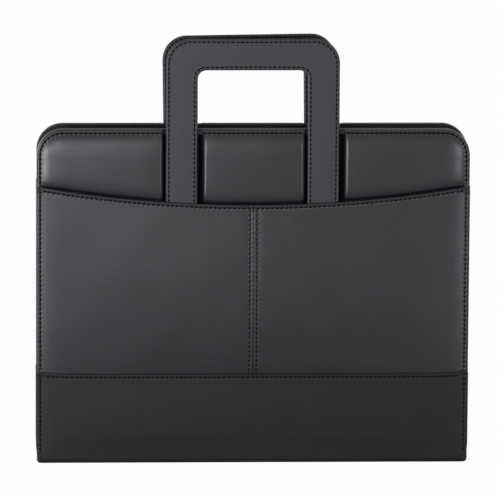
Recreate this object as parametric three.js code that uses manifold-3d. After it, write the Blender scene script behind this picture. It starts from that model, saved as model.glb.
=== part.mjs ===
// A zip-around A4 compendium with two retractable handles, standing closed on its spine.
// Millimetres. +Z is up, +X runs along the spine to the right, and the front cover faces -Y.
// The origin is on the ground, under the middle of the spine.
import * as THREE from "three";
import { mergeVertices } from "three/addons/utils/BufferGeometryUtils.js";
import Module from "manifold-3d";

const wasm = await Module();
wasm.setup();

// Overall size of the closed case
const COVER_W = 355; // along the spine
const COVER_H = 278; // from the ground to the covers' top edge
const CASE_D = 46; // over the outer faces of both bands
const COVER_R = 21.5; // top corners of the covers
const FIT = 0.3; // clearance between neighbours that slide or sit side by side
const ARC_STEPS = 10; // straight pieces in a quarter turn

// Leather, board and lining thicknesses
const BAND_T = 1.5;
const POCKET_T = 1.5;
const SHELL_T = 1.2;
const BOARD_T = 2.2;
const LINING_T = 1;

// Handles: a flat strap bent into a square arch, with a wider foot at the end of each leg
const HANDLE_W = 142; // outside of both legs
const HANDLE_T = 4;
const HANDLE_TOP = 352.5; // above the ground when pulled out
const LEG_W = 26;
const GRIP_H = 25.8; // height of the bar that the hand holds
const HANDLE_OUTER_R = 20;
const HANDLE_INNER_R = 7;
const LEG_END_Z = 125; // lower end of the legs when pulled out
const FOOT_W = 36;
const FOOT_H = 12;
const FRONT_HANDLE_SHIFT = -1; // the front handle sits a little left in its channels
const BACK_HANDLE_SHIFT = -1;
const BACK_HANDLE_DROP = 1.3; // the back handle isn't pulled quite to its stop
const BACK_HANDLE_LEAN = 0.9; // degrees, its top towards the left

// Channels that the legs slide in, between the padded sections of each cover
const CHANNEL_W = 32.4;
const CHANNEL_END_Z = 70; // lower end of the channels
const FOOT_PLAY = 2; // room beside each foot
const RIM_W = 5; // the flat border outside the padding, on which the edge stitching lies
const EDGE_T = 1.5; // leather turned over the edge of the board

// Outside pockets, with a concave top edge, and the band over their lower end
const POCKET_SIDE_Z = 231; // height of the pocket's edge at the sides
const POCKET_SAG = 15.2; // how much lower the edge is in the middle
const POCKET_STEPS = 12; // straight pieces in half of the edge
const SEAM_GAP = 0.3; // between the two pieces of the front pocket
const BAND_TOP_Z = 75;

// Spine
const SPINE_R = 4; // rounding along the fold
const SPINE_END_R = 4; // the fold's corners, seen from the front
const SPINE_BOARD_T = 2.5;
const HINGE_GAP = 1; // from the top of the spine's lining to the cover boards

// Zip, running round the left, top and right edges
const ZIP_INSET = 6; // from the covers' edge to the middle of the tape
const TAPE_T = 1;
const COIL_W = 2.2; // across the tape
const COIL_H = 2.2; // from the tape towards the other half
const MESH_GAP = 1; // between the two coils' plain solids
const SLIDER_Z = 42; // middle of the slider when the zip is closed
const SLIDER_L = 10;
const SLIDER_W = 7.2; // across both coils
const PLATE_T = 1.2;
const POST_T = 0.5;
const EAR_T = 1.2; // the two lugs that hold the pull's pin
const EAR_L = 4;
const PIN_R = 0.5;
const PIN_STAND = 1.5; // from the slider's outer plate to the pin's axis
const PULL_EYE_R = 1.2;
const PULL_EYE_W = 3.6;
const PULL_L = 28;
const PULL_W = 8;
const PULL_T = 1.6;
const PULL_NECK = 5; // from the pin to the wide part of the pull
const PULL_R = 2.5;
const STOP_L = 2.5;
const STOP_T = 1.5;
const STOP_MARGIN = 3.7; // from the upper clip to where the zip starts to turn

// Writing pad, A4, in its slit pocket inside the back cover
const PAD_W = 297;
const PAD_H = 210;
const PAD_SHEETS_T = 7;
const PAD_CARD_T = 0.8;
const PAD_Z = 22; // lower edge
const PAD_BINDING_W = 12;
const PAD_TAPE_T = 0.8;
const PAD_POCKET_T = 1;
const PAD_POCKET_START_X = -118; // the slit that the pad's card goes into
const PAD_POCKET_MARGIN = 12; // seam round the card

// Pockets, slots and pen loop inside the front cover
const DOC_POCKET_SIDE = 17.5; // from the cover's edge to the pocket's
const DOC_POCKET_Z = 14;
const DOC_POCKET_H = 176;
const DOC_POCKET_T = 1;
const DOC_POCKET_ROOM = 1.2; // slot behind the pocket
const DOC_SEAM_W = 6;
const CARD_POCKET_W = 104;
const CARD_POCKET_SIDE = 10; // from the document pocket's left edge
const CARD_POCKET_Z = 24;
const CARD_POCKET_H = 128; // the tallest of the three
const CARD_POCKET_STEP = 22;
const CARD_POCKET_T = 0.8;
const PEN_LOOP_X = 60;
const PEN_LOOP_L = 22;
const PEN_LOOP_Z = 238;
const PEN_LOOP_H = 14;
const PEN_LOOP_D = 12;
const PEN_LOOP_T = 1.2;

// Distances inwards from a cover's outer face, one for the start of each layer
const HALF_D = CASE_D / 2;
const POCKET_IN = BAND_T;
const PAD_IN = POCKET_IN + POCKET_T;
const SHELL_IN = PAD_IN + HANDLE_T + 2 * FIT;
const BOARD_IN = SHELL_IN + SHELL_T;
const LINING_IN = BOARD_IN + BOARD_T;
const INSIDE = LINING_IN + LINING_T;

// Heights near the spine
const SPINE_TOP = BAND_T + SPINE_BOARD_T + LINING_T;
const BAND_Z = SPINE_TOP + FIT;
const COVER_Z = SPINE_TOP + HINGE_GAP;

// Places that follow from the handle
const LEG_X = (HANDLE_W - LEG_W) / 2;
const GRIP_UNDERSIDE = HANDLE_TOP - GRIP_H;
const FOOT_TOP = LEG_END_Z + FOOT_H;
const CHANNEL_IN = LEG_X - CHANNEL_W / 2;
const CHANNEL_OUT = LEG_X + CHANNEL_W / 2;
const FOOT_ROOM_IN = LEG_X - FOOT_W / 2 - FOOT_PLAY;
const FOOT_ROOM_OUT = LEG_X + FOOT_W / 2 + FOOT_PLAY;
const SHOULDER_Z = FOOT_TOP + FIT;

// Places along the zip
const ZIP_X = COVER_W / 2 - ZIP_INSET;
const COIL_Y = MESH_GAP / 2;
const TAPE_Y = COIL_Y + COIL_H;
const PLATE_X = ZIP_X + COIL_W / 2 + FIT; // inner face of the slider's outer plate
const PIN_X = PLATE_X + PLATE_T + PIN_STAND;

// Materials
const finish = (color, roughness, metalness = 0) => ({ color, roughness, metalness });
const SMOOTH_LEATHER = finish(0x2b2b2e, 0.45);
const HANDLE_LEATHER = finish(0x303034, 0.42);
const BAND_LEATHER = finish(0x242427, 0.5);
const BOARD = finish(0x8a7c66, 0.9);
const LINING = finish(0x1f1f22, 0.85);
const TAPE = finish(0x17171a, 0.9);
const COIL = finish(0x1b1b1d, 0.5);
const METAL = finish(0x3a3a3c, 0.3, 0.9);
const PAPER = finish(0xf2f0e8, 0.9);
const CARD = finish(0x9a8b70, 0.9);
const BINDING = finish(0x20242c, 0.7);
const ELASTIC = finish(0x151517, 0.9);

// Joining and cutting closed geometries
function solidOf(geometry) {
  const bare = geometry.clone();
  bare.deleteAttribute("normal");
  bare.deleteAttribute("uv");
  const merged = mergeVertices(bare, 1e-4);
  return new wasm.Manifold(
    new wasm.Mesh({
      numProp: 3,
      vertProperties: new Float32Array(merged.attributes.position.array),
      triVerts: new Uint32Array(merged.index.array),
    }),
  );
}

function geometryOf(solid) {
  const mesh = solid.getMesh();
  const geometry = new THREE.BufferGeometry();
  geometry.setAttribute("position", new THREE.BufferAttribute(mesh.vertProperties, 3));
  geometry.setIndex(new THREE.BufferAttribute(mesh.triVerts, 1));
  geometry.computeVertexNormals();
  return geometry;
}

function join(...pieces) {
  return geometryOf(pieces.map(solidOf).reduce((all, piece) => all.add(piece)));
}

function cut(body, ...tools) {
  return geometryOf(tools.map(solidOf).reduce((left, tool) => left.subtract(tool), solidOf(body)));
}

function common(a, b) {
  return geometryOf(solidOf(a).intersect(solidOf(b)));
}

// Outlines
function arc(x, y, radius, from, to) {
  return Array.from({ length: ARC_STEPS + 1 }, (_, i) => {
    const angle = THREE.MathUtils.degToRad(from + ((to - from) * i) / ARC_STEPS);
    return new THREE.Vector2(x + radius * Math.cos(angle), y + radius * Math.sin(angle));
  });
}

const point = (x, y) => new THREE.Vector2(x, y);
const mirrored = (points) => points.map((p) => point(-p.x, p.y));

function rectangle(x0, x1, y0, y1) {
  return [point(x0, y0), point(x1, y0), point(x1, y1), point(x0, y1)];
}

// The rounded top of a cover, from its right side over to its left, set in from the edge
function coverTop(inset) {
  const half = COVER_W / 2 - inset;
  const top = COVER_H - inset;
  const radius = COVER_R - inset;
  return [
    ...arc(half - radius, top - radius, radius, 0, 90),
    ...arc(radius - half, top - radius, radius, 90, 180),
  ];
}

function coverOutline(inset, bottom) {
  const half = COVER_W / 2 - inset;
  return [point(-half, bottom), point(half, bottom), ...coverTop(inset)];
}

// A wall that follows the cover's left, top and right edges
function coverWall(outerInset, innerInset, bottom) {
  const outer = COVER_W / 2 - outerInset;
  const inner = COVER_W / 2 - innerInset;
  return [
    point(outer, bottom),
    ...coverTop(outerInset),
    point(-outer, bottom),
    point(-inner, bottom),
    ...coverTop(innerInset).reverse(),
    point(inner, bottom),
  ];
}

// Solids
function slab(points, y0, y1) {
  const options = { depth: y1 - y0, bevelEnabled: false };
  const geometry = new THREE.ExtrudeGeometry(new THREE.Shape(points), options);
  return geometry.rotateX(Math.PI / 2).translate(0, y1, 0);
}

// An outline of Y and Z, run along X
function bar(points, x0, x1) {
  const options = { depth: x1 - x0, bevelEnabled: false };
  const geometry = new THREE.ExtrudeGeometry(new THREE.Shape(points), options);
  const turn = new THREE.Matrix4().makeBasis(
    new THREE.Vector3(0, 1, 0),
    new THREE.Vector3(0, 0, 1),
    new THREE.Vector3(1, 0, 0),
  );
  return geometry.applyMatrix4(turn).translate(x0, 0, 0);
}

function block(x0, x1, y0, y1, z0, z1) {
  const geometry = new THREE.BoxGeometry(x1 - x0, y1 - y0, z1 - z0);
  return geometry.translate((x0 + x1) / 2, (y0 + y1) / 2, (z0 + z1) / 2);
}

// A rod along Y
function rod(radius, y0, y1, x, z) {
  const geometry = new THREE.CylinderGeometry(radius, radius, y1 - y0, 2 * ARC_STEPS);
  return geometry.translate(x, (y0 + y1) / 2, z);
}

function piece(name, geometry, { color, roughness, metalness }) {
  const material = new THREE.MeshStandardMaterial({ color, roughness, metalness });
  const mesh = new THREE.Mesh(geometry, material);
  mesh.name = name;
  return mesh;
}

// A cover's layers are given as distances inwards from its outer face. Side -1 is the front.
function layer(side, points, from, to) {
  const near = side * (HALF_D - from);
  const far = side * (HALF_D - to);
  return slab(points, Math.min(near, far), Math.max(near, far));
}

// The leather shell: the floor of the channels, the border outside the padding and the turned edge
function coverShell(side) {
  const border = layer(side, coverWall(0, RIM_W, COVER_Z), PAD_IN, BOARD_IN);
  const floor = layer(side, coverOutline(0, COVER_Z), SHELL_IN, BOARD_IN);
  const turnedEdge = layer(side, coverWall(0, EDGE_T, COVER_Z), SHELL_IN, INSIDE);
  const borderZ = COVER_H - 2 * RIM_W;
  const channels = [-1, 1].map((way) => {
    const edges = [way * CHANNEL_IN, way * CHANNEL_OUT].sort((a, b) => a - b);
    return layer(side, rectangle(...edges, borderZ, COVER_H + RIM_W), -RIM_W, SHELL_IN);
  });
  return join(cut(border, ...channels), floor, turnedEdge);
}

// The padded section outside a channel, on the right
function sidePadOutline() {
  const inset = RIM_W + FIT;
  const half = COVER_W / 2 - inset;
  const radius = COVER_R - inset;
  const top = COVER_H - inset;
  return [
    point(FOOT_ROOM_OUT, CHANNEL_END_Z),
    point(half, CHANNEL_END_Z),
    ...arc(half - radius, top - radius, radius, 0, 90),
    point(CHANNEL_OUT, top),
    point(CHANNEL_OUT, SHOULDER_Z),
    point(FOOT_ROOM_OUT, SHOULDER_Z),
  ];
}

// The padded section between the channels
function middlePadOutline() {
  const top = COVER_H - RIM_W - FIT;
  const right = [
    point(FOOT_ROOM_IN, CHANNEL_END_Z),
    point(FOOT_ROOM_IN, SHOULDER_Z),
    point(CHANNEL_IN, SHOULDER_Z),
    point(CHANNEL_IN, top),
  ];
  return [...right, ...mirrored(right).reverse()];
}

// The pocket's concave edge from x0 to x1, a parabola
function pocketEdge(x0, x1, steps) {
  return Array.from({ length: steps + 1 }, (_, i) => {
    const x = x0 + ((x1 - x0) * i) / steps;
    const share = x / (COVER_W / 2);
    return point(x, POCKET_SIDE_Z - POCKET_SAG * (1 - share * share));
  });
}

function pocketOutline(x0, x1, steps) {
  return [point(x0, COVER_Z), point(x1, COVER_Z), ...pocketEdge(x1, x0, steps)];
}

// What both covers have
function coverParts(side, name) {
  const basePadHalf = COVER_W / 2 - RIM_W - FIT;
  const basePad = rectangle(-basePadHalf, basePadHalf, COVER_Z, CHANNEL_END_Z - FIT);
  const boardInset = EDGE_T + FIT;
  const tapeOuter = ZIP_INSET - TAPE_T / 2;
  const tapeInner = ZIP_INSET + TAPE_T / 2;
  const coilOuter = ZIP_INSET - COIL_W / 2;
  const coilInner = ZIP_INSET + COIL_W / 2;
  const wallEnd = HALF_D - TAPE_Y;
  const zipTape = join(
    layer(side, coverWall(boardInset, tapeInner, COVER_Z), LINING_IN, INSIDE),
    layer(side, coverWall(tapeOuter, tapeInner, COVER_Z), LINING_IN, wallEnd),
  );
  const zipCoil = layer(side, coverWall(coilOuter, coilInner, COVER_Z), wallEnd, HALF_D - COIL_Y);
  const lining = coverOutline(tapeInner + FIT, COVER_Z);
  const band = rectangle(-COVER_W / 2, COVER_W / 2, BAND_Z, BAND_TOP_Z);
  const padLayer = (points) => layer(side, points, PAD_IN, SHELL_IN);
  return [
    piece(`${name}_shell`, coverShell(side), SMOOTH_LEATHER),
    piece(`${name}_pad_left`, padLayer(mirrored(sidePadOutline())), SMOOTH_LEATHER),
    piece(`${name}_pad_middle`, padLayer(middlePadOutline()), SMOOTH_LEATHER),
    piece(`${name}_pad_right`, padLayer(sidePadOutline()), SMOOTH_LEATHER),
    piece(`${name}_base_pad`, padLayer(basePad), SMOOTH_LEATHER),
    piece(`${name}_band`, layer(side, band, 0, BAND_T), BAND_LEATHER),
    piece(`${name}_board`, layer(side, coverOutline(boardInset, COVER_Z), BOARD_IN, LINING_IN), BOARD),
    piece(`${name}_lining`, layer(side, lining, LINING_IN, INSIDE), LINING),
    piece(`${name}_zip_tape`, zipTape, TAPE),
    piece(`${name}_zip_coil`, zipCoil, COIL),
  ];
}

// The front pocket is two pieces of leather that meet in a seam down the middle
function frontPocket() {
  const outline = pocketOutline(SEAM_GAP / 2, COVER_W / 2, POCKET_STEPS);
  return [
    piece("front_pocket_left", layer(-1, mirrored(outline), POCKET_IN, PAD_IN), SMOOTH_LEATHER),
    piece("front_pocket_right", layer(-1, outline, POCKET_IN, PAD_IN), SMOOTH_LEATHER),
  ];
}

function backPocket() {
  const outline = pocketOutline(-COVER_W / 2, COVER_W / 2, 2 * POCKET_STEPS);
  return piece("back_pocket", layer(1, outline, POCKET_IN, PAD_IN), SMOOTH_LEATHER);
}

// A handle as an outline, symmetric about X = 0
function handleOutline() {
  const outer = HANDLE_W / 2;
  const inner = outer - LEG_W;
  const footOut = LEG_X + FOOT_W / 2;
  const footIn = LEG_X - FOOT_W / 2;
  const outerTurn = arc(outer - HANDLE_OUTER_R, HANDLE_TOP - HANDLE_OUTER_R, HANDLE_OUTER_R, 0, 90);
  const innerTurn = arc(inner - HANDLE_INNER_R, GRIP_UNDERSIDE - HANDLE_INNER_R, HANDLE_INNER_R, 90, 0);
  const rightLeg = [
    ...innerTurn,
    point(inner, FOOT_TOP),
    point(footIn, FOOT_TOP),
    point(footIn, LEG_END_Z),
    point(footOut, LEG_END_Z),
    point(footOut, FOOT_TOP),
    point(outer, FOOT_TOP),
    ...outerTurn,
  ];
  return [...rightLeg, ...mirrored(rightLeg).reverse()];
}

function handleSolid(side) {
  return layer(side, handleOutline(), PAD_IN + FIT, PAD_IN + FIT + HANDLE_T);
}

function frontHandle() {
  const handle = piece("front_handle", handleSolid(-1), HANDLE_LEATHER);
  handle.position.x = FRONT_HANDLE_SHIFT;
  return handle;
}

// The back handle leans about the middle of its channels
function backHandle() {
  const pivotZ = (SHOULDER_Z + COVER_H) / 2;
  const handle = piece("back_handle", handleSolid(1).translate(0, 0, -pivotZ), HANDLE_LEATHER);
  const place = new THREE.Group();
  place.position.set(BACK_HANDLE_SHIFT, 0, pivotZ - BACK_HANDLE_DROP);
  place.rotation.y = -THREE.MathUtils.degToRad(BACK_HANDLE_LEAN);
  place.add(handle);
  return place;
}

// The spine: the part of the band under the case, with its board and lining
function spine() {
  const innerR = SPINE_R - BAND_T;
  const right = [
    ...arc(HALF_D - SPINE_R, SPINE_R, SPINE_R, -90, 0),
    point(HALF_D, SPINE_TOP),
    point(HALF_D - BAND_T, SPINE_TOP),
    ...arc(HALF_D - SPINE_R, SPINE_R, innerR, 0, -90),
  ];
  const half = COVER_W / 2;
  const boardHalf = HALF_D - SPINE_R;
  const liningHalf = HALF_D - BAND_T - FIT;
  const boardTop = BAND_T + SPINE_BOARD_T;
  const end = half - EDGE_T;
  const rightEnd = [...arc(half - SPINE_END_R, SPINE_END_R, SPINE_END_R, -90, 0), point(half, COVER_Z)];
  const front = slab([...rightEnd, ...mirrored(rightEnd).reverse()], -CASE_D, CASE_D);
  const wrap = bar([...right, ...mirrored(right).reverse()], -half, half);
  const board = rectangle(-boardHalf, boardHalf, BAND_T, boardTop);
  const lining = rectangle(-liningHalf, liningHalf, boardTop, SPINE_TOP);
  return [
    piece("spine_band", common(wrap, front), BAND_LEATHER),
    piece("spine_board", bar(board, -end, end), BOARD),
    piece("spine_lining", bar(lining, -end, end), LINING),
  ];
}

// The slider: two plates joined by a post that runs between the coils, with lugs for the pull
function zipSlider() {
  const low = SLIDER_Z - SLIDER_L / 2;
  const high = SLIDER_Z + SLIDER_L / 2;
  const half = SLIDER_W / 2;
  const plate = rectangle(-half, half, low, high);
  const innerX = ZIP_X - COIL_W / 2 - FIT;
  const outerFace = PLATE_X + PLATE_T;
  const earIn = PULL_EYE_W / 2 + FIT;
  const ears = [-earIn - EAR_T, earIn].map((y) =>
    block(PLATE_X, PIN_X + EAR_T, y, y + EAR_T, SLIDER_Z - EAR_L / 2, SLIDER_Z + EAR_L / 2),
  );
  return piece(
    "zip_slider",
    join(
      bar(plate, PLATE_X, outerFace),
      bar(plate, innerX - PLATE_T, innerX),
      block(innerX - PLATE_T, outerFace, -POST_T / 2, POST_T / 2, SLIDER_Z, high),
      ...ears,
      rod(PIN_R, -earIn - EAR_T / 2, earIn + EAR_T / 2, PIN_X, SLIDER_Z),
    ),
    METAL,
  );
}

// The pull hangs from the slider's pin
function zipPull() {
  const half = PULL_W / 2;
  const end = SLIDER_Z - PULL_L;
  const wide = SLIDER_Z - PULL_NECK;
  const eyeHalf = PULL_EYE_W / 2;
  const tab = [
    point(eyeHalf, SLIDER_Z),
    point(eyeHalf, wide),
    point(half, wide - (half - eyeHalf)),
    ...arc(half - PULL_R, end + PULL_R, PULL_R, 0, -90),
  ];
  const eye = rod(PULL_EYE_R, -eyeHalf, eyeHalf, PIN_X, SLIDER_Z);
  const bore = rod(PIN_R + FIT, -half, half, PIN_X, SLIDER_Z);
  const outline = [...tab, ...mirrored(tab).reverse()];
  const body = bar(outline, PIN_X - PULL_T / 2, PIN_X + PULL_T / 2);
  return piece("zip_pull", cut(join(body, eye), bore), METAL);
}

// Two clips on the back coil end the slider's run
function zipStops() {
  const face = ZIP_X + COIL_W / 2;
  const stop = (name, z) => piece(name, block(face, face + STOP_T, COIL_Y, TAPE_Y, z, z + STOP_L), METAL);
  const low = SLIDER_Z - SLIDER_L / 2 - FIT - STOP_L;
  const high = COVER_H - COVER_R - STOP_MARGIN - STOP_L;
  return [stop("zip_lower_stop", low), stop("zip_upper_stop", high)];
}

// The writing pad: its card is behind the pocket and its sheets are in front
function writingPad() {
  const x = PAD_W / 2;
  const top = PAD_Z + PAD_H;
  const liningY = HALF_D - INSIDE;
  const cardY = liningY - PAD_CARD_T;
  const sheetsY = cardY - PAD_POCKET_T;
  const pageY = sheetsY - PAD_SHEETS_T;
  const margin = PAD_POCKET_MARGIN;
  const pocket = block(PAD_POCKET_START_X, x + margin, sheetsY, liningY, PAD_Z - margin / 2, top + margin);
  const cardRoom = block(-x, x + FIT, cardY, liningY + FIT, PAD_Z - FIT, top + FIT);
  const strip = join(
    block(-x - PAD_TAPE_T, -x, pageY, liningY, PAD_Z, top),
    block(-x - PAD_TAPE_T, -x + PAD_BINDING_W, sheetsY, cardY, PAD_Z, top),
    block(-x - PAD_TAPE_T, -x + PAD_BINDING_W, pageY - PAD_TAPE_T, pageY, PAD_Z, top),
  );
  return [
    piece("pad_pocket", cut(pocket, cardRoom), LINING),
    piece("pad_card", block(-x, x, cardY, liningY, PAD_Z, top), CARD),
    piece("pad_sheets", block(-x, x, pageY, sheetsY, PAD_Z, top), PAPER),
    piece("pad_binding", strip, BINDING),
  ];
}

// Document pocket, stepped card pockets and pen loop, all sewn on the front lining
function organiser() {
  const liningY = INSIDE - HALF_D;
  const pocketY = liningY + DOC_POCKET_ROOM + DOC_POCKET_T;
  const half = COVER_W / 2 - DOC_POCKET_SIDE;
  const pocketTop = DOC_POCKET_Z + DOC_POCKET_H;
  const sleeve = block(-half, half, liningY, pocketY, DOC_POCKET_Z, pocketTop);
  const room = block(
    DOC_SEAM_W - half,
    half - DOC_SEAM_W,
    liningY - FIT,
    liningY + DOC_POCKET_ROOM,
    DOC_POCKET_Z + DOC_SEAM_W,
    pocketTop + FIT,
  );
  const cardX = CARD_POCKET_SIDE - half;
  const cardPockets = ["upper", "middle", "lower"].map((name, i) => {
    const y = pocketY + i * CARD_POCKET_T;
    const top = CARD_POCKET_Z + CARD_POCKET_H - i * CARD_POCKET_STEP;
    const panel = block(cardX, cardX + CARD_POCKET_W, y, y + CARD_POCKET_T, CARD_POCKET_Z, top);
    return piece(`card_pocket_${name}`, panel, LINING);
  });
  const loopEnd = PEN_LOOP_X + PEN_LOOP_L;
  const loopTop = PEN_LOOP_Z + PEN_LOOP_H;
  const loopY = liningY + PEN_LOOP_D;
  const t = PEN_LOOP_T;
  const loop = cut(
    block(PEN_LOOP_X, loopEnd, liningY, loopY, PEN_LOOP_Z, loopTop),
    block(PEN_LOOP_X - t, loopEnd + t, liningY + t, loopY - t, PEN_LOOP_Z + t, loopTop - t),
  );
  const documentPocket = piece("document_pocket", cut(sleeve, room), LINING);
  return [documentPocket, ...cardPockets, piece("pen_loop", loop, ELASTIC)];
}

// One group for each part that moves by itself
const compendium = new THREE.Group();
const frontCover = new THREE.Group().add(...coverParts(-1, "front"), ...frontPocket(), ...organiser());
const backCover = new THREE.Group().add(...coverParts(1, "back"), backPocket(), ...zipStops());
frontCover.add(frontHandle());
backCover.add(...writingPad(), zipSlider(), zipPull(), backHandle());
compendium.add(...spine(), frontCover, backCover);

export default compendium;
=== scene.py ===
# %% [markdown]
# A zip-around compendium of black leather-look sheet stands closed on its spine, with both handles pulled
# out. The CAD frame holds the real sizes and everything that moves. This file dresses it: padded panels,
# rolled edges, stitches, zip teeth and the finish of every surface. Lengths are in millimetres until a
# mesh is made, except where a comment says metres.

# %% The frame and the sizes that it gives
import math

import bmesh
import bpy
import numpy as np
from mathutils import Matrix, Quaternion, Vector


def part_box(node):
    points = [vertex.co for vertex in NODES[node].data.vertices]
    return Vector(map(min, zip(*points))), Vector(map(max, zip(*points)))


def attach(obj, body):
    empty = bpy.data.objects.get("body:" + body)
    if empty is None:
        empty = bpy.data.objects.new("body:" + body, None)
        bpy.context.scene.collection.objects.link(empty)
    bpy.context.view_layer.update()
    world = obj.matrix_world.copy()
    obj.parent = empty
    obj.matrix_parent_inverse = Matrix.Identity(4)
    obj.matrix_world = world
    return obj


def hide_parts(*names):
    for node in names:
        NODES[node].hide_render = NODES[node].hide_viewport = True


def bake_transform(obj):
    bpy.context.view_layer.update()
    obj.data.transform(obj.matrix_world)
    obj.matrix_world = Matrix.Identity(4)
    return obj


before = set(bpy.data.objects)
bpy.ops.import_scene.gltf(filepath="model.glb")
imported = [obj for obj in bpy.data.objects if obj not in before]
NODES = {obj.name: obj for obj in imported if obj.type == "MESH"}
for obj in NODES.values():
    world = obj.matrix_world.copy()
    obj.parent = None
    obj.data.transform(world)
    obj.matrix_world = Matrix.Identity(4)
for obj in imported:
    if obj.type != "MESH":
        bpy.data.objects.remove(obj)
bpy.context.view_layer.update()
MM = 0.001
SIDES = {"front": -1, "back": 1}


def in_scene(name, data):
    """A new object of the scene."""
    made = bpy.data.objects.new(name, data)
    bpy.context.scene.collection.objects.link(made)
    return made


def span(node, axis):
    """Lowest and highest coordinate of a CAD node along one axis."""
    low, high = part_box(node)
    return low["xyz".index(axis)] / MM, high["xyz".index(axis)] / MM


HALF_W = span("front_shell", "x")[1]
COVER_LOW, COVER_TOP = span("front_shell", "z")
BAND_TOP = span("front_band", "z")[1]
LIP_SIDE_Z = span("front_pocket_left", "z")[1]
CHANNEL_IN = span("front_pad_middle", "x")[1]
CHANNEL_OUT = span("front_pad_right", "x")[0]
PAD_LOW = span("front_pad_middle", "z")[0]
BASE_PAD_TOP = span("front_base_pad", "z")[1]
# Distances outwards from the plane between the covers
BAND_OUT = -span("front_band", "y")[0]
POCKET_OUT = -span("front_pocket_left", "y")[0]
PAD_OUT = -span("front_pad_left", "y")[0]
CHANNEL_FLOOR = -span("front_pad_left", "y")[1]
BOARD_OUT = -span("front_board", "y")[0]
INSIDE = -span("front_lining", "y")[1]
print("cover", HALF_W * 2, "x", COVER_TOP, "band to", BAND_TOP)
print("layers", BAND_OUT, POCKET_OUT, PAD_OUT, CHANNEL_FLOOR)

# %% [markdown]
# The camera comes first, because everything else is judged through it. The photograph shows almost no
# perspective, so the camera stands far off with a long lens, a little to the left of the front and above
# it. A touch of roll keeps the case's lower edge level.

# %% Camera
CAMERA_FAR = 4500
CAMERA_AZIMUTH, CAMERA_ELEVATION, CAMERA_ROLL = -2.6, 10.1, 0.36  # degrees
CAMERA_AIM = (-1.8, 0, 174.6)
SENSOR_W = 36
FRAME_W = 411.9  # what the picture's width takes in at the object

turn, rise = math.radians(CAMERA_AZIMUTH), math.radians(CAMERA_ELEVATION)
towards_camera = Vector((math.sin(turn) * math.cos(rise), -math.cos(turn) * math.cos(rise), math.sin(rise)))
camera = in_scene("camera", bpy.data.cameras.new("camera"))
camera.data.sensor_width = SENSOR_W
camera.data.lens = SENSOR_W * CAMERA_FAR / FRAME_W
camera.data.clip_end = 100
camera.location = (Vector(CAMERA_AIM) + towards_camera * CAMERA_FAR) * MM
camera.rotation_mode = "QUATERNION"
upright = (-towards_camera).to_track_quat("-Z", "Y")
camera.rotation_quaternion = upright @ Quaternion((0, 0, 1), math.radians(CAMERA_ROLL))
bpy.context.scene.camera = camera
print("lens", round(camera.data.lens, 1))

# %% [markdown]
# Materials and Geometry Nodes are both graphs of nodes. One small class wraps a socket, so that maths on
# it reads as Python, and one method adds any other node.

# %% Node graphs written as expressions


class Value:
    """A node's output, with the arithmetic that the recipes below use."""

    def __init__(self, tree, socket):
        self.tree = tree
        self.socket = socket

    def maths(self, operation, *operands):
        node = self.tree.nodes.new("ShaderNodeMath")
        node.operation = operation
        for socket, operand in zip(node.inputs, operands):
            if isinstance(operand, Value):
                self.tree.links.new(operand.socket, socket)
            else:
                socket.default_value = operand
        return Value(self.tree, node.outputs[0])

    def above(self, limit):
        return self.maths("GREATER_THAN", self, limit)


OF_TWO = {"add": "ADD", "sub": "SUBTRACT", "mul": "MULTIPLY", "truediv": "DIVIDE", "pow": "POWER"}
OF_ONE = {"sin": "SINE", "cos": "COSINE", "exp": "EXPONENT", "sign": "SIGN", "fraction": "FRACT"}
for word, operation in OF_TWO.items():
    setattr(Value, f"__{word}__", lambda a, b, kind=operation: a.maths(kind, a, b))
    setattr(Value, f"__r{word}__", lambda a, b, kind=operation: a.maths(kind, b, a))
for word, operation in OF_ONE.items():
    setattr(Value, word, lambda a, kind=operation: a.maths(kind, a))


class Graph:
    """A node tree that nodes are added to."""

    def __init__(self, tree):
        self.tree = tree

    def node(self, kind, settings=None, inputs=None, output=0):
        """Adds a node, sets its settings, then fills or links its sockets, and gives one output."""
        made = self.tree.nodes.new(kind)
        for key, value in (settings or {}).items():
            if key == "stops":
                for stop, (place, colour) in zip(made.color_ramp.elements, value):
                    stop.position = place
                    stop.color = (*colour, 1)
            else:
                setattr(made, key, value)
        for key, value in (inputs or {}).items():
            if isinstance(value, Value):
                self.tree.links.new(value.socket, made.inputs[key])
            else:
                made.inputs[key].default_value = value
        return Value(self.tree, made.outputs[output])

    def parts(self, vector):
        """The three numbers of a vector."""
        split = self.node("ShaderNodeSeparateXYZ", inputs={"Vector": vector})
        return [Value(self.tree, socket) for socket in split.socket.node.outputs]


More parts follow.
